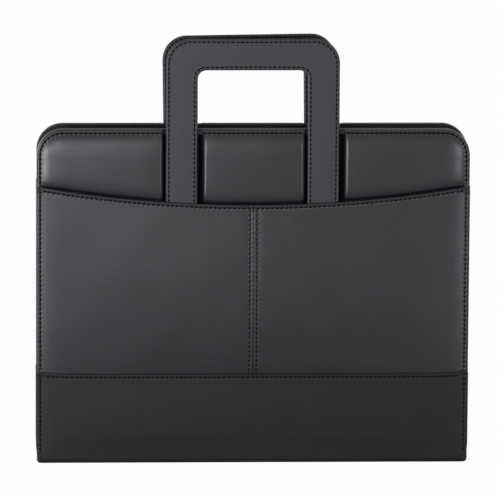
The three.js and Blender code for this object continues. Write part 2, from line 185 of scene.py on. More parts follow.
class Finish(Graph):
    """A material with one Principled shader."""

    def __init__(self, name, roughness, specular=0.5, metallic=0.0):
        self.material = bpy.data.materials.new(name)
        self.material.use_nodes = True
        super().__init__(self.material.node_tree)
        self.shader = self.tree.nodes["Principled BSDF"]
        self.shader.inputs["Roughness"].default_value = roughness
        self.shader.inputs["Specular IOR Level"].default_value = specular
        self.shader.inputs["Metallic"].default_value = metallic
        self.place = self.node("ShaderNodeTexCoord", output="Object")

    def noise(self, size, detail):
        """Noise from 0 to 1 whose lumps are about size millimetres across."""
        inputs = {"Vector": self.place, "Scale": 1 / (size * MM), "Detail": detail}
        return self.node("ShaderNodeTexNoise", inputs=inputs, output="Fac")

    def cells(self, size):
        """Distance from the middle of the nearest pebble of a grain."""
        inputs = {"Vector": self.place, "Scale": 1 / (size * MM)}
        return self.node("ShaderNodeTexVoronoi", {"feature": "SMOOTH_F1"}, inputs, "Distance")

    def between(self, share, dark, light):
        """A colour between two, given as sRGB from 0 to 255."""
        stops = [(0.0, linear(dark)), (1.0, linear(light))]
        return self.node("ShaderNodeValToRGB", {"stops": stops}, {"Fac": share}, "Color")

    def feed(self, socket, value):
        self.tree.links.new(value.socket, self.shader.inputs[socket])

    def bump(self, height, depth):
        """Height from 0 to 1 becomes relief of that depth in millimetres."""
        inputs = {"Height": height, "Distance": depth * MM, "Strength": 1.0}
        self.feed("Normal", self.node("ShaderNodeBump", inputs=inputs, output="Normal"))


def linear(colour):
    """sRGB numbers from 0 to 255 as the linear numbers that a shader takes."""
    return tuple((c / 255 / 12.92) if c <= 10 else ((c / 255 + 0.055) / 1.055) ** 2.4 for c in colour)


# %% [markdown]
# The leather-look sheet is smooth and satin: black, with a fine pebble grain about 0.8 mm across, a slow
# drift in its gloss, and leather pulled down round each stitch. Its colour also carries painted light at
# the
# stitches: painted shade in the needle holes and round each thread, and a painted highlight on the leather
# raised between them. The pull and this painted light follow the seam, so each panel carries a seam
# attribute: the count of stitches along the row, and the distance from it across the row.

# %% Leather finishes
LUMPS, DRIFT, PORES = 26, 6, 0.35  # the sheet's unevenness, from wide to fine
# PUCKER_W also sets how far the painted shade round a thread and the painted highlight between stitches
# reach.
PUCKER_W, PUCKER_DEPTH = 1.1, 0.45  # how far from a row its stitches pull the leather, and how deep
# HOLE_W also sets the width of the painted shade in each needle hole.
HOLE_W, HOLE_DEPTH = 0.42, 0.4
HOLE_L = 0.07  # a needle hole's length, as a share of the pitch
HOLE_AT = 0.36  # from a stitch's middle to its needle hole, as a share of the pitch
RIM_MARK = 99  # the distance given to surfaces without a seam, which are also less glossy
FARTHEST = 80  # the distance from the nearest of several rows is cut off here, short of the rims' mark


def leather(name, dark, light, roughness, specular, grain=0.8, grain_depth=0.035):
    made = Finish(name, roughness, specular)
    seam = made.node("ShaderNodeAttribute", {"attribute_name": "seam"}, output="Vector")
    count, across, _ = made.parts(seam)
    near = ((across / PUCKER_W) ** 2 * -1).exp()
    at_stitch = (count * math.tau).cos() * 0.5 + 0.5
    # The leather raised between stitches stands up in the relief and is lightened in colour as a painted
    # highlight.
    raised_and_painted_highlight = near * (1 - at_stitch)
    # Painted shade round each thread: the leather beside a stitch is darkened in colour, and made rougher.
    round_thread_painted_shade = near * at_stitch
    rim = across.above(RIM_MARK - 1)
    phase = (count + 0.5).fraction() - 0.5
    off_hole = phase.maths("ABSOLUTE", phase) - HOLE_AT
    # The needle holes dip in the relief, and their colour is darkened as painted shade.
    hole_and_painted_shade = ((across / HOLE_W) ** 2 * -1 - (off_hole / HOLE_L) ** 2).exp()
    mottle = made.noise(LUMPS, 2)
    drift = made.noise(DRIFT, 4)
    fine = made.noise(PORES, 2)
    # Painted light in the colour: shade in the needle holes and round each thread, highlight on the raised
    # leather between stitches.
    colour = made.between(mottle * 0.6 + fine * 0.25 + raised_and_painted_highlight * 0.7 - hole_and_painted_shade * 0.9 - round_thread_painted_shade * 0.7, dark, light)
    made.feed("Base Color", colour)
    worn = hole_and_painted_shade * 0.3 + round_thread_painted_shade * 0.25 + rim * 0.35 - raised_and_painted_highlight * 0.06
    made.feed("Roughness", mottle * 0.07 + drift * 0.1 + fine * 0.06 + worn + (roughness - 0.115))
    pebbles = made.cells(grain)
    relief = pebbles * grain_depth + fine * (grain_depth * 0.5) + raised_and_painted_highlight * PUCKER_DEPTH - hole_and_painted_shade * HOLE_DEPTH
    made.bump(relief, 1.0)
    return made.material


SMOOTH = leather("smooth_leather", (11, 11, 14), (20, 20, 24), 0.35, 0.38)
STRAP = leather("handle_leather", (18, 18, 21), (31, 31, 35), 0.5, 0.36, grain=0.9, grain_depth=0.05)
BAND = leather("band_leather", (12, 12, 13), (20, 20, 22), 0.46, 0.2)
print("leathers", SMOOTH.name, STRAP.name, BAND.name)

# %% [markdown]
# The other finishes: spun thread, a near-black cloth on the channels' floors that is painted shade, the
# lining's fine weave, the zip's tape and nylon teeth, black board, dark plated metal, ruled paper, card,
# cloth binding and ribbed elastic. Each has its own relief, close to its real scale.

# %% Cloth, paper and metal finishes


def woven(name, dark, light, pitch, depth, roughness=0.8, sheen=0.0):
    """A plain weave: threads cross along X and Z, and along Y on a sheet's edge."""
    made = Finish(name, roughness, 0.3)
    x, y, z = made.parts(made.place)
    step = math.tau / (pitch * MM)
    across = ((x + y) * step).sin()
    along = ((z + y) * step).sin()
    weave = across * along * 0.5 + 0.5
    made.feed("Base Color", made.between(weave * 0.5 + made.noise(9, 3) * 0.5, dark, light))
    made.bump(weave + made.noise(pitch, 2) * 0.3, depth)
    made.shader.inputs["Sheen Weight"].default_value = sheen
    return made.material


def ribbed(name, dark, light, pitch, depth, roughness, axis):
    """Ribs at a set pitch along one axis."""
    made = Finish(name, roughness, 0.35)
    place = made.parts(made.place)[axis]
    rib = (place * (math.tau / (pitch * MM))).sin() * 0.5 + 0.5
    made.feed("Base Color", made.between(rib * 0.6 + made.noise(3, 3) * 0.4, dark, light))
    made.bump(rib, depth)
    return made.material


def plain(name, dark, light, roughness, lump, depth, specular=0.4, metallic=0.0):
    """A nearly even finish with a little relief."""
    made = Finish(name, roughness, specular, metallic)
    lumps = made.noise(lump, 4)
    made.feed("Base Color", made.between(lumps, dark, light))
    made.feed("Roughness", made.noise(lump * 6, 3) * 0.16 + (roughness - 0.08))
    made.bump(lumps, depth)
    return made.material


RULE_PITCH = 8.7
RULE_W = 0.35
RULE_TOP = 26  # clear space above the first line
SHEET_PITCH = 0.25  # coarser than real paper, so that the block's edge still reads as sheets


def ruled_paper():
    """White sheets: faint rules on the page, and the sheets' edges round the block."""
    made = Finish("ruled_paper", 0.85, 0.3)
    x, y, z = made.parts(made.place)
    page_top = span("pad_sheets", "z")[1] * MM
    row = ((page_top - RULE_TOP * MM) - z) / (RULE_PITCH * MM)
    line = row.fraction().above(1 - RULE_W / RULE_PITCH) * row.above(0)
    normal_y = made.parts(made.node("ShaderNodeNewGeometry", output="Normal"))[1]
    page = line * (normal_y * -1).above(0.5)
    sheet = (y * (math.tau / (SHEET_PITCH * MM))).sin() * 0.5 + 0.5
    edge = 1 - (normal_y * -1).above(0.5)
    share = 0.25 + page * 0.6 + sheet * edge * 0.35 + made.noise(20, 2) * 0.1
    made.feed("Base Color", made.between(share, (246, 244, 236), (168, 178, 190)))
    made.bump(sheet * edge + made.noise(0.5, 2) * 0.1, 0.1)
    return made.material


THREAD = plain("thread", (2, 2, 2), (9, 9, 10), 0.85, 0.3, 0.06, 0.06)
# A near-black matte cloth on the channels' floor: painted shade for the dark gaps beside the handle's legs.
CHANNEL_SHADE_CLOTH = plain("channel_shade_cloth", (4, 4, 5), (9, 9, 10), 0.95, 0.5, 0.1, 0.05)
LINING = woven("lining_cloth", (17, 17, 19), (34, 34, 38), 0.7, 0.06, 0.75, 0.15)
TAPE = woven("zip_tape", (15, 15, 16), (34, 34, 37), 0.9, 0.14, 0.85, 0.1)
TEETH = plain("zip_teeth", (18, 18, 19), (36, 36, 38), 0.38, 0.8, 0.02, 0.5)
BOARD = plain("black_board", (30, 29, 28), (46, 44, 42), 0.9, 0.6, 0.12)
METAL = plain("dark_metal", (52, 52, 55), (84, 84, 88), 0.3, 1.5, 0.01, 0.5, 1.0)
PAPER = ruled_paper()
CARD = plain("pad_card", (140, 124, 100), (168, 152, 126), 0.9, 0.5, 0.08)
BINDING = woven("binding_cloth", (26, 30, 38), (46, 52, 64), 0.8, 0.12, 0.7)
ELASTIC = ribbed("ribbed_elastic", (12, 12, 13), (34, 34, 36), 1.1, 0.25, 0.85, 2)
print("finishes", len(bpy.data.materials))

# %% [markdown]
# A panel of padded leather is a field of heights over the cover's face. Its columns and rows lie close
# together near the edges, where the leather rolls over, and far apart in the middle. Walls and a flat
# back close it.

# %% Panels
NEAR_EDGE = (0, 0.15, 0.4, 0.75, 1.15, 1.6, 2.1, 2.6, 3.0, 3.4, 3.8, 4.3, 5, 6, 7.5, 9.5, 12)
SMOOTH_ANGLE = math.radians(42)


def spread(low, high, step, near=NEAR_EDGE, count=None):
    """Places from low to high, close together near both ends."""
    ends = np.array(near[:-1])
    if count is None:
        count = max(2, int((high - low - 2 * near[-1]) / step) + 1)
    middle = np.linspace(low + near[-1], high - near[-1], count)
    return np.concatenate([low + ends, middle, (high - ends)[::-1]])


def link(name, points, faces, material, seam=None):
    """Makes an object from points in millimetres, with its faces outwards and its seam attribute."""
    mesh = bpy.data.meshes.new(name)
    mesh.from_pydata((np.asarray(points, float) * MM).tolist(), [], faces)
    work = bmesh.new()
    work.from_mesh(mesh)
    bmesh.ops.recalc_face_normals(work, faces=work.faces)
    work.to_mesh(mesh)
    work.free()
    mesh.polygons.foreach_set("use_smooth", [True] * len(mesh.polygons))
    mesh.set_sharp_from_angle(angle=SMOOTH_ANGLE)
    mesh.materials.append(material)
    if seam is not None:
        rows = np.zeros((len(mesh.vertices), 3), np.float32)
        rows[:, 1] = RIM_MARK
        rows[: len(seam), :2] = seam
        mesh.attributes.new("seam", "FLOAT_VECTOR", "POINT").data.foreach_set("vector", rows.ravel())
    return in_scene(name, mesh)


def panel(name, side, xs, edges, face, back, step, material, seam=None):
    """A closed panel whose face stands face(x, z) out from the middle.

    The edges are functions of x: the lowest, any crease that rows follow closely, and the highest.
    """
    heights = [edge(xs) for edge in edges]
    zones = []
    for low, high in zip(heights, heights[1:]):
        count = max(2, int(((high - low).max() - 2 * NEAR_EDGE[-1]) / step) + 1)
        zones.append(np.array([spread(a, b, step, count=count) for a, b in zip(low, high)]))
    z = np.hstack([zones[0], *[zone[:, 1:] for zone in zones[1:]]])
    x = np.repeat(xs[:, None], z.shape[1], axis=1)
    columns, across = z.shape
    index = np.arange(columns * across).reshape(columns, across)
    front = np.stack([x, side * face(x, z), z], axis=-1).reshape(-1, 3)
    ring = list(dict.fromkeys([*index[:, 0], *index[-1, :], *index[::-1, -1], *index[0, ::-1]]))
    backs = {v: len(front) + i for i, v in enumerate(ring)}
    rear = front[ring].copy()
    rear[:, 1] = side * back
    faces = []
    for i in range(columns - 1):
        for j in range(across - 1):
            faces.append((index[i, j], index[i + 1, j], index[i + 1, j + 1], index[i, j + 1]))
        far = index[i + 1] if i == columns - 2 else index[i + 1, [0, -1]]
        near = index[i] if i == 0 else index[i, [0, -1]]
        faces.append([backs[v] for v in [*near[::-1], *far]])
    for a, b in zip(ring, ring[1:] + ring[:1]):
        faces.append((a, b, backs[b], backs[a]))
    values = None
    if seam is not None:
        values = np.stack(seam(x, z), axis=-1).reshape(-1, 2)
    return link(name, np.concatenate([front, rear]), [[int(v) for v in f] for f in faces], material, values)


def loft(name, rings, material, seam=None):
    """A closed body through rings of points, with a cap on each end."""
    rings = np.asarray(rings, float)
    stations, around, _ = rings.shape
    faces = []
    for i in range(stations - 1):
        for j in range(around):
            k = (j + 1) % around
            faces.append((i * around + j, i * around + k, (i + 1) * around + k, (i + 1) * around + j))
    faces.append(list(range(around)))
    faces.append([(stations - 1) * around + j for j in range(around)])
    return link(name, rings.reshape(-1, 3), faces, material, seam)


# %% [markdown]
# The shapes of the leather are short formulas. An edge rolls over like a quarter circle, a stitch row
# pulls a groove, and the leather swells again beyond it. Distances to the cover's rounded outline are
# worked out exactly.

# %% Shapes of edges, seams and swells
COVER_R = 21.5
SEAM_IN = 3.0  # from the cover's edge to its stitch row
PITCH = 3.9  # from stitch to stitch
LIP_SAG = 15.2
LIP_SEAM = 3.0  # from the pocket's lip to its stitch row
CENTRE_SEAM = 2.8  # from the middle seam to each of its rows


def roll(s, radius):
    """0 inside, falling by radius along a quarter circle to the edge at s = 0."""
    inward = radius - np.clip(s, 0, radius)
    return np.sqrt(np.maximum(radius**2 - inward**2, 0)) - radius


def groove(s, width):
    return -np.exp(-((s / width) ** 2))


def swell(s, reach):
    """0 at the seam, rising to 1."""
    return 1 - np.exp(-np.maximum(s, 0) / reach)


def step_up(t):
    t = np.clip(t, 0, 1)
    return t * t * (3 - 2 * t)


def cover_edge(x, z):
    """Distance inwards from the cover's sides and rounded top."""
    u = np.abs(x) - (HALF_W - COVER_R)
    v = z - (COVER_TOP - COVER_R)
    corner = COVER_R - np.hypot(u, v)
    straight = np.minimum(HALF_W - np.abs(x), COVER_TOP - z)
    return np.where((u > 0) & (v > 0), corner, straight)


def cover_top(x, inset):
    """Height of the cover's outline, set in from the edge, at x."""
    radius = COVER_R - inset
    u = np.clip(np.abs(x) - (HALF_W - COVER_R), 0, radius)
    return COVER_TOP - COVER_R + np.sqrt(radius**2 - u**2)


def round_cover(x, z):
    """How far along the perimeter's stitch row a point lies, from the lower left to the lower right."""
    radius = COVER_R - SEAM_IN
    rise_end = COVER_TOP - COVER_R
    top_start = rise_end + radius * math.pi / 2
    half_flat = HALF_W - COVER_R
    angle = np.arctan2(z - rise_end, np.maximum(np.abs(x) - half_flat, 1e-9))
    left = x < 0
    top_end = top_start + 2 * half_flat
    quarter = radius * math.pi / 2
    corner = np.where(left, rise_end + radius * angle, top_end + quarter - radius * angle)
    side = np.where(left, z, top_end + quarter + rise_end - z)
    in_corner = (z > rise_end) & (np.abs(x) > half_flat)
    on_side = (z <= rise_end) & (HALF_W - np.abs(x) < COVER_TOP - z)
    return np.where(in_corner, corner, np.where(on_side, side, top_start + half_flat + x))


def lip(x):
    """Height of the pocket's concave upper edge."""
    return LIP_SIDE_Z - LIP_SAG * (1 - (x / HALF_W) ** 2)


def lip_distance(x, z):
    slope = 2 * LIP_SAG * x / HALF_W**2
    return (lip(x) - z) / np.sqrt(1 + slope**2)


def along_lip(x):
    k = LIP_SAG / HALF_W**2
    return x + 2 / 3 * k**2 * x**3


def ripple(x, z, size):
    """The slow unevenness of a hand-padded panel."""
    slow = np.sin(x / 23 + z / 41 + 0.7) * np.sin(z / 29 - x / 67)
    quick = np.sin(x / 11.5 - z / 17 + 2.1)
    return size * (slow + 0.5 * quick)


def nearest(*rows):
    """The seam attribute: of several (stitch count, distance) pairs, the one that lies nearest."""
    counts = np.stack([np.broadcast_to(r[0], np.shape(r[1])) for r in rows])
    distances = np.stack([r[1] for r in rows])
    pick = np.abs(distances).argmin(0)[None]
    found = np.take_along_axis(distances, pick, 0)[0]
    return np.take_along_axis(counts, pick, 0)[0], np.clip(found, -FARTHEST, FARTHEST)


# %% [markdown]
# Each cover's leather is turned over the edge of its board. Sewing the padding down leaves a rolled bead
# outside the stitch row. A section through that edge is swept round the cover, and it dips where the
# handle's channels cross the top. The pocket and the band wrap over the bead lower down, so it is thicker
# there.

# %% Turned edges of the covers
BEAD_TOP = PAD_OUT
# Section through the edge: distance in from the outline, and out from the middle plane
EDGE_SECTION = np.array([
    (0.35, INSIDE), (0.1, INSIDE + 0.3), (0, INSIDE + 0.9), (0, BOARD_OUT + 1), (0, BEAD_TOP - 2.2),
    (0.12, BEAD_TOP - 1.5), (0.42, BEAD_TOP - 0.85), (0.85, BEAD_TOP - 0.35), (1.35, BEAD_TOP - 0.05),
    (1.85, BEAD_TOP - 0.12), (2.3, BEAD_TOP - 0.32), (2.65, BEAD_TOP - 0.52), (3.0, BEAD_TOP - 0.66),
    (3.6, BEAD_TOP - 0.85), (4.2, BEAD_TOP - 1.7), (4.8, BEAD_TOP - 3), (4.9, BOARD_OUT + 0.6),
    (4.9, BOARD_OUT + 0.1), (1.9, BOARD_OUT + 0.1), (1.5, BOARD_OUT - 0.2), (1.5, INSIDE + 0.3),
    (1.25, INSIDE),
])
WRAP_POCKET, WRAP_BAND = 0.45, 0.8  # how much thicker the edge is where these pass over it
WRAP_FADE = 10  # the band's wrap thins out over this height at the fold
DIP_SOFT = 1.6  # the bead falls into a channel over this length
RING_STEP = 3.0  # between sections of the turned edge
FLOOR_IN = 4.4  # from the cover's top to the channels' cloth floor
FLOOR_NEAR = (0, 1, 2.5, 5, 9, 14, 20)


def path_round_cover(start):
    """Outline points from the lower left over the top to the lower right, with outward directions."""
    half_flat, rise_end = HALF_W - COVER_R, COVER_TOP - COVER_R
    breaks = [z for w in (LIP_SIDE_Z, BAND_TOP) for z in (w - 0.5, w + 0.1, w + 0.5)]
    sides = np.unique(np.concatenate([np.arange(start, rise_end, RING_STEP), breaks]))
    sides = sides[sides >= start]
    angles = np.radians(np.linspace(180, 90, 25))
    ends = (-CHANNEL_OUT, -CHANNEL_IN, CHANNEL_IN, CHANNEL_OUT)
    tops = [np.arange(-half_flat, half_flat, RING_STEP), *[np.arange(c - 3, c + 3, 0.5) for c in ends]]
    tops = np.unique(np.concatenate(tops))[1:]
    left = [((-HALF_W, z), (-1, 0)) for z in sides]
    turns = [(math.cos(a), math.sin(a)) for a in angles]
    corner = [((-half_flat + COVER_R * c, rise_end + COVER_R * s), (c, s)) for c, s in turns]
    top = [((x, COVER_TOP), (0, 1)) for x in tops]
    mirrored = [((-p[0], p[1]), (-n[0], n[1])) for p, n in [*left, *corner]][::-1]
    return [*left, *corner, *top, *mirrored]


def cover_edging(name, side):
    rings, counts = [], []
    for (x, z), (nx, nz) in path_round_cover(COVER_LOW):
        wrap = WRAP_POCKET * (z < LIP_SIDE_Z) + (WRAP_BAND - WRAP_POCKET) * (z < BAND_TOP)
        wrap *= float(step_up((z - COVER_LOW) / WRAP_FADE))
        to_channel = min(abs(x) - CHANNEL_IN, CHANNEL_OUT - abs(x))
        dip = float(step_up(to_channel / DIP_SOFT + 0.5)) if z > COVER_TOP - 1 else 0
        inset = EDGE_SECTION[:, 0] - wrap * (EDGE_SECTION[:, 0] < 1.3)
        out = EDGE_SECTION[:, 1]
        out = np.minimum(out, out * (1 - dip) + (CHANNEL_FLOOR - 0.2) * dip)
        rings.append(np.stack([x - nx * inset, side * out, z - nz * inset], axis=-1))
        count = float(round_cover(np.array(x - nx * SEAM_IN), np.array(z - nz * SEAM_IN))) / PITCH
        bare = (dip > 0.02) | (out < BOARD_OUT + 2) | (EDGE_SECTION[:, 0] < 0.3)
        distance = np.where(bare, RIM_MARK, EDGE_SECTION[:, 0] - SEAM_IN)
        counts.append(np.stack([np.full(len(inset), count), distance], axis=-1))
    return loft(name, rings, SMOOTH, np.concatenate(counts))


def join(target, *others):
    """Adds other objects' meshes to one, each with its own material."""
    work = bmesh.new()
    for slot, piece in enumerate((target, *others)):
        before = len(work.faces)
        work.from_mesh(piece.data)
        work.faces.ensure_lookup_table()
        for face in work.faces[before:]:
            face.material_index = slot
    work.to_mesh(target.data)
    for piece in others:
        target.data.materials.append(piece.data.materials[0])
    work.free()
    for piece in others:
        bpy.data.objects.remove(piece)
    return target


def flat(value):
    return lambda x, z=None: np.full(np.shape(x), float(value))


for cover, side in SIDES.items():
    edging = cover_edging(f"{cover}_cover_leather", side)
    floor_half = HALF_W - EDGE_SECTION[:, 0].max() + 0.5
    xs = spread(-floor_half, floor_half, 6, FLOOR_NEAR)
    floor_edges = [flat(COVER_LOW), lambda x: cover_top(x, FLOOR_IN)]
    # The channels' floor takes the near-black cloth, painted shade in the gaps beside the handle's legs.
    channel_floor = panel(f"{cover}_channel_floor", side, xs, floor_edges,
                          flat(CHANNEL_FLOOR - 0.1), BOARD_OUT + 0.05, 12, CHANNEL_SHADE_CLOTH,
                          lambda x, z: (x * 0, x * 0 + RIM_MARK))
    edging = join(edging, channel_floor)
    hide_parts(f"{cover}_shell")
    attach(edging, f"{cover}_cover")
    print(edging.name, len(edging.data.polygons), "faces")

# %% [markdown]
# Three padded sections lie on each cover, with a channel on both sides of the middle one. The leather
# leaves the perimeter's groove, swells over the foam in about a centimetre, and rolls down into the
# channels. The pocket presses the padding in, and above the pocket's lip it rises again.

# %% Padded sections
PAD_SWELL = 3.2
SWELL_REACH = 6.0
CROWN, CROWN_REACH = 0.5, 9  # a little more padding away from the channels
SOFT_REACH = 12  # the crown and the unevenness come in over this distance from the stitches
PAD_RIPPLE = 0.1
PAD_CLEAR = 0.15  # between a padded section and the stitch row
GROOVE_LEVEL = BEAD_TOP - 0.68
PAD_CORNER = 3.4
MOUTH_SINK, MOUTH_REACH = 1.2, 3.0  # the pocket presses the padding in, and it rises again above the lip
FOOT_ROOM = 3.8  # the room for the handle's feet cuts this far into the padding, low down
SHOULDER_Z = 137.3


def pad_face(x, z):
    edge = cover_edge(x, z) - SEAM_IN
    channel = np.maximum(np.abs(x) - CHANNEL_OUT, CHANNEL_IN - np.abs(x))
    pressed = PAD_OUT - MOUTH_SINK
    soft = CROWN * swell(channel - PAD_CORNER, CROWN_REACH) + ripple(x, z, PAD_RIPPLE)
    free = GROOVE_LEVEL + PAD_SWELL * swell(edge, SWELL_REACH) + soft * swell(edge, SOFT_REACH)
    risen = swell(z - lip(x) - 0.3, MOUTH_REACH)
    return pressed + (free - pressed) * risen + roll(channel, PAD_CORNER)


def pad_seam(x, z):
    return round_cover(x, z) / PITCH, cover_edge(x, z) - SEAM_IN


def pad_low(x):
    away = np.abs(x)
    notch = (away > CHANNEL_IN - FOOT_ROOM) & (away < CHANNEL_OUT + FOOT_ROOM)
    return np.where(notch, SHOULDER_Z, PAD_LOW)


def pad_columns(low, high):
    notches = [s * (c + d) for s in (-1, 1) for c, d in
               ((CHANNEL_IN, -FOOT_ROOM), (CHANNEL_OUT, FOOT_ROOM))]
    steps = [n + e for n in notches for e in (-0.02, 0.02) if low < n < high]
    return np.unique(np.concatenate([spread(low, high, 2.4), steps]))


pad_edge = HALF_W - SEAM_IN - PAD_CLEAR
PADS = {
    "left": (-pad_edge, -CHANNEL_OUT),
    "middle": (-CHANNEL_IN, CHANNEL_IN),
    "right": (CHANNEL_OUT, pad_edge),
}
PAD_EDGES = [pad_low, lip, lambda x: cover_top(x, SEAM_IN + PAD_CLEAR)]
for cover, side in SIDES.items():
    for place, (low, high) in PADS.items():
        pad = panel(f"{cover}_padding_{place}", side, pad_columns(low, high), PAD_EDGES,
                    pad_face, CHANNEL_FLOOR, 3.2, SMOOTH, pad_seam)
        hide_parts(f"{cover}_pad_{place}")
        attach(pad, f"{cover}_cover")
        print(pad.name, len(pad.data.polygons), "faces")
    base_half = span("front_base_pad", "x")[1]
    base = panel(f"{cover}_padding_lower", side, spread(-base_half, base_half, 8),
                 [flat(COVER_LOW), flat(BASE_PAD_TOP)],
                 lambda x, z: PAD_OUT - 0.1 + roll(base_half - np.abs(x), 2), CHANNEL_FLOOR, 8, SMOOTH)
    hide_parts(f"{cover}_base_pad")
    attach(base, f"{cover}_cover")

# %% [markdown]
# The pocket is a sheet whose upper edge is folded over and stitched, so its lip is round and thick. It
# bellies out from the band, is pinched by the perimeter's stitches at both sides, and the front one has a
# seam down the middle.

# %% Pockets
LIP_R = 1.3
LIP_THICK, HEM_W = 0.9, 1.9  # the folded hem's extra thickness, and how far down it reaches
LIP_GROOVE = 0.28
HEM_GROOVE_W = 0.8
POCKET_RIPPLE = 0.14
SIDE_PINCH, PINCH_REACH = 1.5, 6.5  # the side's stitches hold the pocket down, and it rises inside them
EDGE_BEAD = 0.75
BELLY = 4.2
BELLY_LOW = 0.8  # below 1, the fullest place is lower than the middle
BELLY_FLAT = 2.4  # the higher, the flatter the belly is across
SEAM_HALF = span("front_pocket_right", "x")[0]


def pinched_edge(s):
    """The rolled bead at a side, the groove of its stitches and the swell inside them."""
    inside = -SIDE_PINCH * (1 - swell(s - SEAM_IN, PINCH_REACH))
    bead = -SIDE_PINCH + EDGE_BEAD * np.exp(-(((s - 1.5) / 1.0) ** 2)) + roll(s, 1.4)
    return np.where(s > SEAM_IN, inside, bead) + 0.2 * groove(s - SEAM_IN, 0.7)


def belly(x, z):
    share = np.clip((z - BAND_TOP) / (lip(x) - BAND_TOP), 0, 1)
    upward = np.sin(math.pi * share**BELLY_LOW)
    sideways = 1 - np.abs(x / HALF_W) ** BELLY_FLAT
    return BELLY * upward * sideways


def pocket_face(x, z, seamed):
    s = HALF_W - np.abs(x)
    fold = lip_distance(x, z)
    hem = LIP_THICK * np.exp(-((fold / HEM_W) ** 4)) + LIP_GROOVE * groove(fold - LIP_SEAM, HEM_GROOVE_W)
    body = belly(x, z) + pinched_edge(s) + ripple(x, z, POCKET_RIPPLE) * swell(fold - 4, 10)
    height = POCKET_OUT + body + roll(fold, LIP_R) + hem
    if seamed:
        off = np.abs(x) - SEAM_HALF
        rows = 0.22 * groove(off - CENTRE_SEAM, 0.7)
        ridge = 0.45 * np.exp(-((off / 1.5) ** 2)) + roll(off, 0.5) + rows
        height = height + ridge - 0.5 * np.exp(-((off / 5) ** 2))
    return np.maximum(height, PAD_OUT + 0.15)


def pocket_seam(seamed):
    def attribute(x, z):
        rows = [
            (round_cover(x, z) / PITCH, np.minimum(HALF_W - np.abs(x) - SEAM_IN, RIM_MARK)),
            (along_lip(x) / PITCH, lip_distance(x, z) - LIP_SEAM),
        ]
        if seamed:
            rows.append((z / PITCH, np.abs(x) - SEAM_HALF - CENTRE_SEAM))
        return nearest(*rows)
    return attribute


POCKETS = {
    "front_pocket_leather_left": ("front", -HALF_W, -SEAM_HALF, ["front_pocket_left"]),
    "front_pocket_leather_right": ("front", SEAM_HALF, HALF_W, ["front_pocket_right"]),
    "back_pocket_leather": ("back", -HALF_W, HALF_W, ["back_pocket"]),
}
for name, (cover, low, high, nodes) in POCKETS.items():
    seamed = cover == "front"
    pocket = panel(name, SIDES[cover], spread(low, high, 2.2), [flat(COVER_LOW + 0.2), lip],
                   lambda x, z, seamed=seamed: pocket_face(x, z, seamed), PAD_OUT + 0.02, 2.6,
                   SMOOTH, pocket_seam(seamed))
    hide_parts(*nodes)
    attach(pocket, f"{cover}_cover")
    print(pocket.name, len(pocket.data.polygons), "faces")

# %% [markdown]
# One band of leather runs up the front, round the spine and up the back. The covers fold open along the
# spine, and the band is made as two halves that meet under the case; each turns round a fixed fold from
# its cover's face to the underside.

# %% Band round the spine
FOLD_R = 4.0
END_R = 4.0
BAND_T = BAND_OUT - POCKET_OUT
BAND_SEAM = 2.9
CURL_Z, CURL_REACH, CURL_FALL = 2.4, 13, 9  # the band's upper corners curl up
BAND_BELLY, BELLY_TURN = 0.9, 2.6  # the swell of the band, and radians of a sine from its edge down
FADE_LOW = 22  # the swell and the pinch fade over this height down to the fold
PINCH_W = 40  # the side's pinch ends this far in


def band_path():
    """Down the front, round the fold and under to the middle: distance out, height and direction."""
    down = np.concatenate([BAND_TOP - np.array(NEAR_EDGE), np.linspace(BAND_TOP - 14, FOLD_R, 24)])
    turns = [(math.cos(a), math.sin(a)) for a in np.radians(np.linspace(0, 90, 10)[1:])]
    centre = BAND_OUT - FOLD_R
    front = [(BAND_OUT, z, 1.0, 0.0) for z in down]
    fold = [(centre + FOLD_R * c, FOLD_R - FOLD_R * s, c, -s) for c, s in turns]
    under = [(y, 0.0, 0.0, -1.0) for y in np.linspace(centre, 0, 9)[1:]]
    return np.array([*front, *fold, *under])


def band_relief(x, z):
    """How far the band's face stands out from its plane, above the fold."""
    s = HALF_W - np.abs(x)
    fall = BAND_TOP - z
    edge = roll(fall, 1.0) + 0.35 * np.exp(-((fall / 1.7) ** 4)) + 0.35 * groove(fall - BAND_SEAM, 0.7)
    above_fold = step_up((z - FOLD_R) / FADE_LOW)
    side = pinched_edge(s) * (0.25 + 0.6 * above_fold) * (s < PINCH_W)
    upward = np.sin(np.clip(fall / BAND_TOP, 0, 1) * BELLY_TURN)
    body = BAND_BELLY * above_fold * (1 - np.abs(x / HALF_W) ** 6) * upward
    return np.maximum(edge + side + body, -BAND_T + 0.25)


def curl(x, fall):
    return CURL_Z * np.exp(-(HALF_W - np.abs(x)) / CURL_REACH) * np.exp(-np.maximum(fall, 0) / CURL_FALL)


def lowest(x):
    """The underside rises at both ends, where the band's corners are rounded."""
    u = np.clip(np.abs(x) - (HALF_W - END_R), 0, END_R)
    return END_R - np.sqrt(END_R**2 - u**2)


def band_face(x, z):
    return BAND_OUT + band_relief(x, z)


